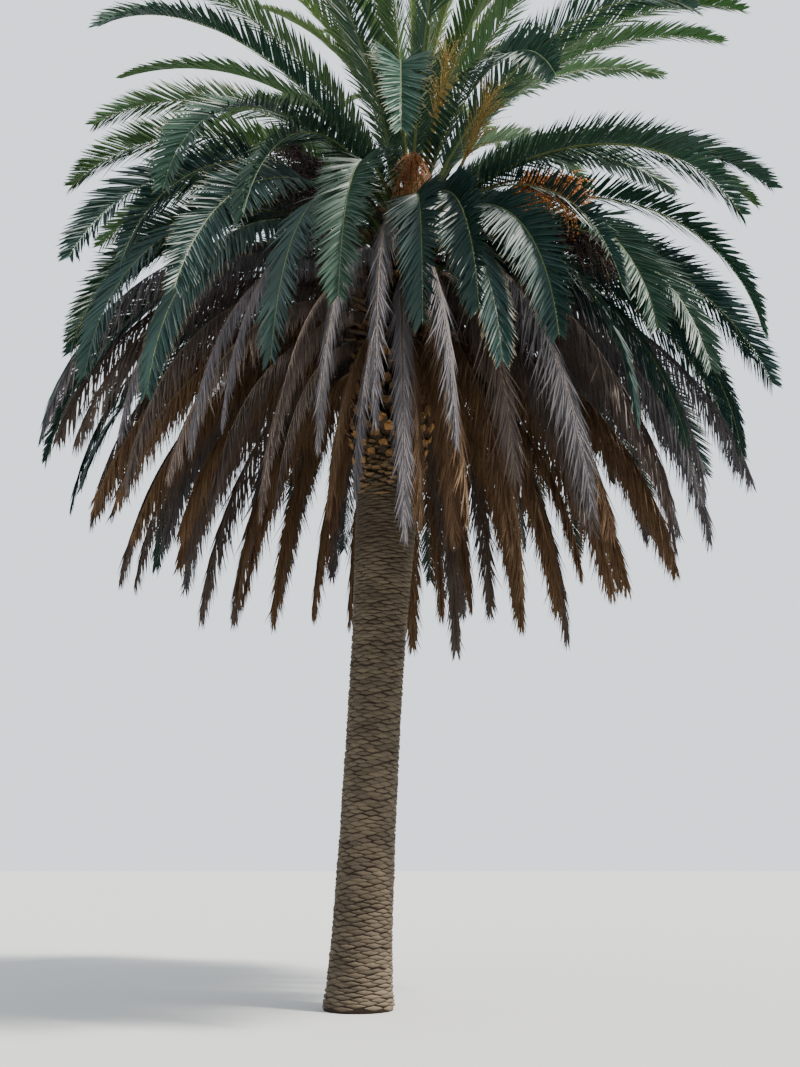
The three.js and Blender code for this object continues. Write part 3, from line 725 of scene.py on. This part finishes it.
def place_scars(heap, depth):
    """Covers the trunk with scars along the leaves' spiral, carried on down to the ground."""
    plate, shape = scar_plate()
    draw = np.random.default_rng(11)
    heights = [COLLAR_BOTTOM + SCARS_ABOVE_COLLAR]
    while heights[-1] > 0:
        heights.append(heights[-1] - scar_rise(heights[-1]))
    height = np.array(heights)
    count = len(height)
    one_each = (count, 1)

    def sized(what):
        share, least, most = SCAR[what]
        return share * draw.uniform(least, most, one_each)

    each = scar_rise(height)[:, None]
    stray_azimuth, stray_height = SCAR["stray"]
    azimuth = on_spiral(-np.arange(count)) + draw.normal(0, stray_azimuth, count)
    height = height + draw.normal(0, stray_height, count)
    ragged = np.clip((height - RAGGED["from"]) / (RAGGED["to"] - RAGGED["from"]), 0, 1)[:, None]
    wide = sized("width") * (1 - RAGGED["narrower"] * ragged * draw.uniform(0.5, 1, one_each))
    tall = sized("height") * (1 - RAGGED["lower"] * ragged * draw.uniform(0, 1, one_each))
    tilt = draw.normal(0, SCAR["tilt"], one_each) + ragged * draw.normal(0, RAGGED["tilt"], one_each)
    bulge = 1 + draw.normal(0, SCAR["bulge"], (count, len(plate))) * (1 + RAGGED_BULGE * ragged)
    x = plate[:, 0] * wide + plate[:, 1] * tall * tilt * SCAR["shear"]
    y = plate[:, 1] * tall * bulge - plate[:, 0] * wide * tilt * SCAR["shear"]
    turn = 360 * x * SCAR["turn"]
    rise = each * (SCAR["slope"] * x + SCAR["rise"] * y)
    stands_out = plate[:, 2] > 0
    proud = depth * draw.uniform(*SCAR["proud"], one_each)
    proud = proud * (1 + ragged * draw.uniform(0, RAGGED["proud"], one_each))
    out = np.where(stands_out, plate[:, 2] * proud * bulge, SCAR["sunk"])
    out = out + np.where(stands_out, plate[:, 1] * (SCAR["lip"] + RAGGED["lip"] * ragged), 0)
    z = np.clip(height[:, None] + rise, 0.0, None)
    keep = height > SCARS_FROM
    points = on_trunk(azimuth[:, None] + turn, z, out - depth)
    pale = (draw.uniform(0, 1, count) < RAGGED_PALE * ragged[:, 0]).astype(int)
    # Painted shade: scars higher up, in the crown's shade, are made darker, all but the pale broken ones
    unshaded = np.interp(height, CROWN_SHADE_HEIGHTS, (1, 0.25))
    shade = draw.uniform(0, 1, count) * unshaded - 0.9 * (1 - unshaded) * (1 - pale)
    heap.add(points[keep], shape, shade=shade[keep], look=1 + pale[keep])


class PALM_OT_trunk(bpy.types.Operator):
    """Makes the trunk: its core of fibre and the scars of its old leaves"""

    bl_idname = "palm.trunk"
    bl_label = "Trunk"

    def execute(self, context):
        chosen = settings("palm_trunk")
        light, dark = chosen.bark_light, chosen.bark_dark
        heap = Heap()
        points, shape = trunk_core(chosen.scar_depth)
        heap.add(points[None], shape, shade=0.3)
        place_scars(heap, chosen.scar_depth)
        looks = [
            grain_material("trunk_fibre", times(dark, 2.2), dark, 30, (1, 1, 0.4)),
            grain_material("leaf_scar", light, times(light, 0.42), 26, (1, 1, 5), relief=0.01),
            grain_material(
                "broken_scar", (0.29, 0.18, 0.075), (0.07, 0.045, 0.025), 38, (1, 1, 1.5), relief=0.006
            ),
        ]
        heap.piece("trunk_bark", looks, "trunk_bark", ["trunk"], smooth=True)
        return {"FINISHED"}


# Leaf bases
def place_stubs(heap, azimuth, height, rise, length, size, slim, draw):
    """Broken bases on the trunk. size holds half widths and depths at root and tip, slim scales them."""
    block, shape = stub_block()
    count = len(azimuth)
    away = outward(azimuth)
    side = np.cross(UP, away)
    lift = np.radians(rise)[:, None]
    along = away * np.cos(lift) + UP * np.sin(lift)
    top = np.cross(along, side)
    start = on_trunk(azimuth, height) - along * size["sink"]
    far = block[:, 2]
    root, tip = (np.outer(slim, size[end])[..., None] for end in ("root", "tip"))
    width, thick = (root[:, axis] + (tip[:, axis] - root[:, axis]) * far for axis in (0, 1))
    broken = far > 0.99
    torn = draw.normal(0, BASE["torn"], (count, len(block))) * broken
    slanted = BASE["slanted"] * block[:, 1] * thick * broken  # the broken end faces down
    reach = (far + torn) * (length + size["sink"])[:, None] + slanted
    knobs = 1 + draw.normal(0, BASE["knobs"], (count, len(block)))
    spread = np.stack([block[:, 0] * width * knobs, block[:, 1] * thick * knobs, reach], axis=-1)
    points = start[:, None] + spread @ np.stack([side, top, along], axis=1)
    shaded = BASE["shaded"] * np.clip((height - BASE["shaded_from"]) / BASE["shaded_over"], 0, 1)
    heap.add(points, shape, shade=draw.uniform(-0.8, 1, count) - shaded)


class PALM_OT_leaf_bases(bpy.types.Operator):
    """Makes the collar of broken leaf bases, and the bases under the crown"""

    bl_idname = "palm.leaf_bases"
    bl_label = "Leaf bases"

    def execute(self, context):
        chosen = settings("palm_trunk")
        heap = Heap()
        draw = np.random.default_rng(23)
        index = -1 - np.arange(STUB_COUNT)
        azimuth = on_spiral(index)
        span = COLLAR_TOP - COLLAR_BOTTOM - STUB_MARGINS["both"]
        height = COLLAR_TOP - STUB_MARGINS["top"] + index * span / STUB_COUNT
        lift, long = (np.array([scatter(i, salt) - 0.5 for i in index]) * 2 for salt in (7, 8))
        rise = STUB["rise"] + lift * STUB_UNEVEN["rise"]
        length = STUB["length"] * (1 + long * STUB_UNEVEN["length"])
        place_stubs(heap, azimuth, height, rise, length, STUB, np.ones(STUB_COUNT), draw)
        # Smaller ones fill the collar, and go on up between the fronds.
        for row, count in ((COLLAR_ROW, chosen.stub_share), (CROWN_ROW, CROWN_ROW_COUNT)):
            place = np.arange(count)
            height = row["low"] + (row["high"] - row["low"]) * (place + 0.5) / count
            slim = row["size"] * draw.uniform(0.75, 1.1, count) * np.clip(radius_at(height) / 0.45, 0.4, 1)
            short = np.clip((height - COLLAR_BOTTOM + 0.45) / 0.7, 0.35, 1)
            azimuth = on_spiral(place) + SMALL_BASE["turn"]
            rise = draw.uniform(16, 46, count)
            length = draw.uniform(0.1, 0.2, count) * short
            place_stubs(heap, azimuth, height, rise, length, SMALL_BASE, slim, draw)
        # Each frond sits in a base of its own.
        leaves = crown()
        foot = np.array([leaf.foot for leaf in leaves])
        slim = np.clip(radius_at(foot) / 0.42, 0.5, 1)
        azimuth = np.array([leaf.azimuth for leaf in leaves])
        rise = np.degrees(np.arcsin([leaf.along[0][2] for leaf in leaves]))
        place_stubs(heap, azimuth, foot, rise, FROND_BASE["length"] * slim, FROND_BASE, slim, draw)
        looks = [
            grain_material("leaf_base_fibre", (0.075, 0.045, 0.024), (0.016, 0.01, 0.006), 34, (1, 1, 0.6)),
            grain_material("leaf_base_end", chosen.broken_end, (0.09, 0.048, 0.02), 40, (1, 1, 1)),
        ]
        heap.piece("leaf_bases", looks, "leaf_base", ["leaf_base_collar"])
        return {"FINISHED"}


# Fronds
def bunch_places():
    """Points in the middle of each bunch of fruit."""
    places = []
    for name, *stalk in FRUIT_STALKS:
        middle, along, _, _ = fruit_rib(*stalk).at(BUNCH_SHARES)
        middle[-1] += 0.2 * along[-1] - 0.25 * BUNCHES[name]["wilt"] * UP
        places.append(middle)
    return np.concatenate(places)


def clear_of_bunches(points, places):
    """Which leaflets have their middles outside every bunch."""
    gaps = np.linalg.norm(points.mean(axis=1)[:, None] - places, axis=-1)
    return gaps.min(axis=1) > BUNCH_ROOM


def rib_sizes(rib, shares):
    """Half widths and half depths of a rib at shares of its length."""
    return [np.interp(shares, rib["share"], rib[what]) for what in ("width", "depth")]


def add_ribs(heap, leaves, scale):
    """A smooth rib for each leaf, broad at its foot."""
    middles, _, sides, tops = (np.array(values) for values in zip(*(leaf.at(RIB_SHARES) for leaf in leaves)))
    slim = np.interp(RIB_SHARES, SLIM_RIB["share"], (scale, SLIM_RIB["keep"] * scale))
    widths, depths = (np.tile(size * slim, (len(leaves), 1)) for size in rib_sizes(LEAF_RIB, RIB_SHARES))
    tips = np.array([leaf.middle[-1] for leaf in leaves])
    points = bar_points(middles, sides, tops, widths, depths, RIB_SECTION, tips)
    along = np.append(np.repeat(RIB_SHARES, len(RIB_SECTION)), 1.0)
    shade = np.array([scatter(leaf.index, 11) for leaf in leaves])
    heap.add(points, bar_shape(len(RIB_SHARES), len(RIB_SECTION)), shade=shade, along=along)


def leaflet_points(leaf, shares, flank, lengths, width, habit, draw):
    """Leaflets on one flank of a rib. habit holds how they are set and how they bend."""
    count = len(shares)
    middle, along, side, top = leaf.at(shares)

    def strayed(angle, stray):
        return np.radians(angle + draw.normal(0, habit[stray], count))[:, None]

    slant = strayed(leaf.slant * (1.25 - 0.5 * shares), "slant")
    keel = strayed(leaf.keel, "keel")
    ahead = along * np.cos(slant) + side * (flank * np.sin(slant) * np.cos(keel))
    ahead = ahead + top * (np.sin(slant) * np.sin(keel))
    ahead = unit(ahead - UP * (leaf.sag + habit["sag"] + 0.5 * leaf.shrink))
    face = unit(np.cross(ahead, along) * -flank)
    twist = strayed(habit["twist"] * flank, "stray_twist")
    flat = np.cross(face, ahead)
    spread = flat * np.cos(twist) + face * np.sin(twist)
    face = face * np.cos(twist) - flat * np.sin(twist)
    rib = rib_sizes(LEAF_RIB, shares)[0][:, None] * habit["rib"]
    start = middle + side * (flank * 0.8 * rib)
    far = np.array(habit["stations"])
    half = 0.5 * width * np.array(habit["widths"])
    droop = habit["droop"] * draw.uniform(0.5, 1.5, count)
    curl = draw.normal(0, habit["curl"], count)
    reach = start[:, None] + ahead[:, None] * np.outer(lengths, far)[..., None]
    reach = reach - UP * np.outer(lengths * droop, far**2)[..., None]
    reach = reach + spread[:, None] * np.outer(lengths * curl, far**2)[..., None]
    fold = math.radians(habit["fold"])
    lift = face[:, None] * (half * math.sin(fold))[None, :, None]
    wide = spread[:, None] * (half * math.cos(fold))[None, :, None]
    body = np.stack([reach[:, :-1] - wide + lift, reach[:, :-1], reach[:, :-1] + wide + lift], axis=2)
    return np.concatenate([body.reshape(count, -1, 3), reach[:, -1:]], axis=1)


# How leaflets are set on each kind of frond: the places along a leaflet where it has points and its widths
# there, how its angles stray, how far it hangs and bends, and how sharply it is folded
GREEN_HABIT = {
    "stations": (0, 0.26, 0.68, 1), "widths": (0.5, 1, 0.78), "slant": 3, "keel": 7, "sag": 0.0, "twist": 20,
    "stray_twist": 9, "rib": 0.62, "droop": 0.07, "curl": 0.02, "fold": 24,
}
DEAD_HABIT = {
    **GREEN_HABIT, "stations": (0, 0.45, 1), "widths": (0.75, 1), "slant": 8, "keel": 16, "sag": 0.3,
    "droop": 0.25, "curl": 0.09, "fold": 34,
}
YOUNG_HABIT = {**GREEN_HABIT, "rib": 0.35, "droop": 0.03, "slant": 4, "keel": 9}
SPINE_HABIT = {
    **GREEN_HABIT, "stations": (0, 0.5, 1), "widths": (1, 0.6), "keel": 14, "droop": 0, "curl": 0.01,
    "fold": 50,
}


def add_leaflets(heap, leaf, count, width, habit, look):
    """Both flanks of a leaf: leaflets from the blade's start to its tip, and spines below them."""
    count = round(count)
    draw = np.random.default_rng(1000 + leaf.index)
    places = bunch_places()
    stations = len(habit["stations"])
    along = np.append(np.repeat(habit["stations"][:-1], 3), 1.0)
    own = scatter(leaf.index, 12)
    for flank in (1, -1):
        spots = (np.arange(count) + draw.uniform(-0.3, 0.3, count) + 0.5) / count
        shares = BLADE_START - 0.01 + (0.992 - BLADE_START) * spots
        lengths = leaf.leaflet_lengths(shares) * draw.uniform(0.93, 1.04, count)
        lengths *= 1 - 0.45 * np.clip((shares - 0.9) / 0.1, 0, 1)
        points = leaflet_points(leaf, shares, flank, lengths, width, habit, draw)
        shade = 0.6 * own + 0.4 * draw.uniform(0, 1, count)
        if habit is DEAD_HABIT:
            shade = 0.4 * own + 1.2 * draw.uniform(0, 1, count) - 0.3
        keep = clear_of_bunches(points, places)
        heap.add(points[keep], leaflet_shape(stations - 1), shade=shade[keep], along=along, look=look)
        if habit is YOUNG_HABIT:
            continue
        number = SPINES["count"]
        spots = (np.arange(number) + draw.uniform(0, 1, number)) / number
        shares = SPINES["start"] + (BLADE_START - SPINES["start"]) * spots
        lengths = np.linspace(*SPINES["lengths"], number) * draw.uniform(0.8, 1.1, number)
        points = leaflet_points(leaf, shares, flank, lengths, SPINES["width"], SPINE_HABIT, draw)
        paled = np.append(np.repeat([0, 0.4], 3), 0.6)
        heap.add(points, leaflet_shape(2), shade=shade[:number], along=paled, look=look)


def tone_of(leaf, ripeness, stray, steps):
    """Which of three tones a frond has by its ripeness, with a few out of turn."""
    ripeness += (scatter(leaf.index, 13) - 0.5) * stray
    return sum(ripeness > step for step in steps)


def green_look(leaf):
    """Deep green in the lower tier, light near the heart."""
    return tone_of(leaf, (leaf.youth - 0.44) / 0.48, 0.5, (0.42, 0.8))


def dead_look(leaf):
    """Grey where a dead frond lies high in the sun on the skirt, rust deep inside: partly the fronds' own
    bleached and brown tones, partly painted sunlight and painted shade.
    """
    return 2 - tone_of(leaf, leaf.youth / 0.44 + leaf.shrink, 0.7, (0.4, 0.74))


def make_fronds(kind, slot, leaves, looks, rib_look, add_leaf, rib_scale=1.0):
    """The pieces of one kind of frond: leaflets, in two tiers but for the heart, and all ribs."""
    nodes = nodes_named(f"{kind}_fronds")
    half = len(leaves) // 2
    tiers = {"": leaves} if kind == "heart" else {"_lower": leaves[:half], "_upper": leaves[half:]}
    for tier, some in tiers.items():
        heap = Heap()
        for leaf in some:
            add_leaf(heap, leaf)
        heap.piece(f"{kind}_leaflets{tier}", looks, slot, nodes)
    ribs = Heap()
    add_ribs(ribs, leaves, rib_scale)
    ribs.piece(f"{kind}_ribs", [rib_look], slot, nodes, smooth=True)


class PALM_OT_dead_fronds(bpy.types.Operator):
    """Makes the skirt of dead fronds"""

    bl_idname = "palm.dead_fronds"
    bl_label = "Dead fronds"

    def execute(self, context):
        chosen = settings("palm_fronds")
        # Grey, brown and rust blades: the fronds' own tones together with painted sunlight and painted shade
        looks = [
            blade_material(f"dead_blade_{name}", colour, times(colour, 0.8), 0.6, matt=0.7)
            for name, colour in colours_of(chosen, ("grey", "brown", "rust"), "dead_")
        ]
        pale, dark = (0.18, 0.12, 0.075), (0.07, 0.042, 0.026)
        rib_look = grain_material("dead_rib", pale, dark, 30, (1, 1, 0.5), 0.7, 0.002)

        def add_leaf(heap, leaf):
            width = DEAD_WIDTH * (1 - 0.6 * leaf.shrink)
            add_leaflets(heap, leaf, 1.2 * chosen.leaflets, width, DEAD_HABIT, dead_look(leaf))

        make_fronds("dead", "dead_frond", crown()[:DEAD_LEAVES], looks, rib_look, add_leaf)
        return {"FINISHED"}


class PALM_OT_green_fronds(bpy.types.Operator):
    """Makes the green fronds, tier by tier"""

    bl_idname = "palm.green_fronds"
    bl_label = "Green fronds"

    def execute(self, context):
        chosen = settings("palm_fronds")
        looks = [
            blade_material(f"blade_{name}", colour, (0.16, 0.13, 0.065), 0.86)
            for name, colour in colours_of(chosen, ("deep", "middle", "light"))
        ]
        dark = times(chosen.rib, 0.6)
        rib_look = grain_material("green_rib", chosen.rib, dark, 18, (1, 1, 0.5), 0.45, 0.001)

        def add_leaf(heap, leaf):
            add_leaflets(heap, leaf, chosen.leaflets, chosen.leaflet_width, GREEN_HABIT, green_look(leaf))

        make_fronds("green", "green_frond", crown()[DEAD_LEAVES:], looks, rib_look, add_leaf)
        return {"FINISHED"}


class PALM_OT_heart(bpy.types.Operator):
    """Makes the young fronds of the heart"""

    bl_idname = "palm.heart"
    bl_label = "Heart"

    def execute(self, context):
        chosen = settings("palm_fronds")
        leaves = [Leaf(PADDED_LEAVES + k, "heart") for k in range(HEART_LEAVES)]
        looks = [blade_material("blade_young", chosen.young, (0.2, 0.17, 0.06), 0.9)]
        pale, dark = (0.22, 0.24, 0.08), (0.14, 0.17, 0.05)
        rib_look = grain_material("young_rib", pale, dark, 18, (1, 1, 0.5), 0.45, 0.001)

        def add_leaf(heap, leaf):
            add_leaflets(heap, leaf, chosen.leaflets, YOUNG_WIDTH, YOUNG_HABIT, 0)

        make_fronds("heart", "young_frond", leaves, looks, rib_look, add_leaf, rib_scale=0.6)
        return {"FINISHED"}


# Fruit
def berry():
    """One fruit, along +Z, a unit long and a little slimmer."""
    bm = bmesh.new()
    bmesh.ops.create_icosphere(bm, subdivisions=1, radius=0.5)
    bmesh.ops.scale(bm, vec=(0.72, 0.72, 1), verts=bm.verts)
    return shape_of(bm)


def strand_course(rib, count, draw, bunch):
    """Middles of the strands of a bunch and their directions: they spread from the stalk's end and sag."""
    middle, along, side, top = rib.at(draw.uniform(*STRAND["from"], count))
    around = draw.uniform(0, 2 * np.pi, count)[:, None]
    slant = np.radians(draw.uniform(*STRAND["spread"], count))[:, None]
    out = side * np.cos(around) + top * np.sin(around)
    ahead = unit(along * np.cos(slant) + out * np.sin(slant))
    length = bunch["reach"] * draw.uniform(*STRAND["length"], count)[:, None]
    far = np.linspace(0, 1, len(STRAND["thick"]) + 1)
    course = middle[:, None] + ahead[:, None] * (length * far)[..., None]
    course = course - UP * (length * bunch["wilt"] * far**2)[..., None]
    return course, ahead


def add_stalk(strands, rib, look):
    shares = np.linspace(0, RIB_SHARES[-1], STALK_RINGS)
    middle, _, side, top = (values[None] for values in rib.at(shares))
    width, depth = (size[None] for size in rib_sizes(FRUIT_RIB, shares))
    points = bar_points(middle, side, top, width, depth, RIB_SECTION, rib.middle[-1][None])
    strands.add(points, bar_shape(STALK_RINGS, len(RIB_SECTION)), shade=0.6, look=look)


def add_bunch(strands, fruits, rib, count, size, bunch, draw, look):
    """A stalk with its strands, and fruit along the outer part of each."""
    add_stalk(strands, rib, look)
    count = round(count * bunch["strands"])
    course, ahead = strand_course(rib, count, draw, bunch)
    rings = len(STRAND["thick"])
    sides = np.repeat(unit(np.cross(ahead, UP + 0.01))[:, None], rings, axis=1)
    tops = np.cross(np.repeat(ahead[:, None], rings, axis=1), sides)
    thick = np.tile(STRAND["thick"], (count, 1))
    points = bar_points(course[:, :rings], sides, tops, thick, thick, round_section(3), course[:, rings])
    strands.add(points, bar_shape(rings, 3), shade=draw.uniform(0, 1, count), look=look)
    far = np.linspace(STRAND["first_fruit"], 1.0, bunch["each"])
    steps = np.linspace(0, 1, rings + 1)
    spots = np.stack([[np.interp(far, steps, axis) for axis in line.T] for line in course])
    spots = spots.transpose(0, 2, 1).reshape(-1, 3)
    spots += draw.normal(0, STRAND["stray"], spots.shape)
    lengthwise = unit(draw.normal(0, 1, spots.shape) - UP * 0.8)
    across = unit(np.cross(lengthwise, draw.normal(0, 1, spots.shape)))
    third = np.cross(lengthwise, across)
    unit_points, shape = berry()
    sizes = size * bunch["size"] * draw.uniform(0.8, 1.15, (len(spots), 1, 1))
    turned_points = unit_points @ np.stack([across, third, lengthwise], axis=1)
    shade = draw.uniform(0, 1, len(spots))
    fruits.add(spots[:, None] + turned_points * sizes, shape, shade=shade, look=look)


class PALM_OT_fruit(bpy.types.Operator):
    """Makes the ripe and the dried bunches of fruit"""

    bl_idname = "palm.fruit"
    bl_label = "Fruit"

    def execute(self, context):
        chosen = settings("palm_fruit")
        for kind, names in (("orange", ("bright", "rust", "gold")), ("dried", ("dried",))):
            strands, fruits = Heap(), Heap()
            draw = np.random.default_rng(77)
            for name, *stalk in FRUIT_STALKS:
                if name in names:
                    rib = fruit_rib(*stalk)
                    bunch = BUNCHES[name]
                    look = names.index(name)
                    add_bunch(strands, fruits, rib, chosen.strands, chosen.fruit, bunch, draw, look)
            berries, threads = [], []
            dried = kind == "dried"
            for name, colour in colours_of(chosen, names):
                light = times(colour, 1.6) if dried else colour
                dark = times(colour, 0.5)
                dull = 0.7 if dried else 0.4
                berries.append(grain_material(f"{name}_fruit", light, dark, 60, (1, 1, 1), dull, 0.001))
                pale = tuple(0.35 * c + share for c, share in zip(colour, (0.12, 0.07, 0.02)))
                threads.append(grain_material(f"{name}_strand", pale, dark, 30, (1, 1, 0.5), 0.6, 0.001))
            nodes = nodes_named(f"{kind}_fruit_stalk")
            fruits.piece(f"{kind}_fruit", berries, f"{kind}_fruit", nodes, smooth=True)
            strands.piece(f"{kind}_fruit_strands", threads, f"{kind}_fruit", nodes)
        return {"FINISHED"}


# Stage
class PALM_OT_stage(bpy.types.Operator):
    """Makes the floor, the lights and the camera"""

    bl_idname = "palm.stage"
    bl_label = "Stage"

    def execute(self, context):
        chosen = settings("palm_stage")
        bm = bmesh.new()
        bmesh.ops.create_grid(bm, x_segments=1, y_segments=1, size=FLOOR_SIZE)
        mesh = bpy.data.meshes.new("floor")
        bm.to_mesh(mesh)
        bm.free()
        floor = placed("floor", mesh)
        material, wiring, shader = new_material("floor")
        wiring.feed(shader, "Base Color", colour_of(chosen.floor))
        wiring.feed(shader, "Roughness", 0.9)
        mesh.materials.append(material)

        world = bpy.data.worlds.new("studio")
        world.use_nodes = True
        sky = world.node_tree.nodes["Background"]
        sky.inputs["Color"].default_value = (0.86, 0.93, 1.0, 1.0)
        sky.inputs["Strength"].default_value = chosen.fill
        context.scene.world = world

        key = bpy.data.lights.new("key", "SUN")
        key.energy = chosen.sun
        key.angle = math.radians(KEY_LIGHT["angle"])
        key.color = KEY_LIGHT["colour"]
        lamp = placed("key", key)
        lamp.rotation_mode = "QUATERNION"
        lamp.rotation_quaternion = Vector(KEY_LIGHT["from"]).to_track_quat("Z", "Y")

        view = bpy.data.cameras.new("camera")
        view.lens = CAMERA["lens"]
        view.sensor_width = 36
        view.clip_end = 1000
        camera = placed("camera", view)
        camera.location = CAMERA["place"]
        camera.rotation_euler = (math.radians(90 + CAMERA["tilt"]), 0, 0)
        context.scene.camera = camera
        return {"FINISHED"}


class PALM_PT_panel(bpy.types.Panel):
    """Lists the pieces of the palm"""

    bl_idname = "PALM_PT_panel"
    bl_label = "Palm"
    bl_space_type = "VIEW_3D"
    bl_region_type = "UI"
    bl_category = "Palm"

    def draw(self, context):
        for maker in MAKERS:
            self.layout.operator(maker.bl_idname)
        for name, kind in SETTINGS.items():
            box = self.layout.box()
            for field in kind.__annotations__:
                box.prop(getattr(context.scene, name), field)


FROND_MAKERS = (PALM_OT_dead_fronds, PALM_OT_green_fronds, PALM_OT_heart)
MAKERS = (PALM_OT_trunk, PALM_OT_leaf_bases, *FROND_MAKERS, PALM_OT_fruit, PALM_OT_stage)
SETTINGS = {
    "palm_trunk": PalmTrunkSettings,
    "palm_fronds": PalmFrondSettings,
    "palm_fruit": PalmFruitSettings,
    "palm_stage": PalmStageSettings,
}


def register():
    for kind in (*SETTINGS.values(), *MAKERS, PALM_PT_panel):
        bpy.utils.register_class(kind)
    for name, kind in SETTINGS.items():
        setattr(bpy.types.Scene, name, bpy.props.PointerProperty(type=kind))


def unregister():
    for name in SETTINGS:
        delattr(bpy.types.Scene, name)
    for kind in (PALM_PT_panel, *reversed(MAKERS), *reversed(SETTINGS.values())):
        bpy.utils.unregister_class(kind)


def main():
    register()
    for maker in MAKERS:
        family, name = maker.bl_idname.split(".")
        getattr(getattr(bpy.ops, family), name)()


if __name__ == "__main__":
    main()
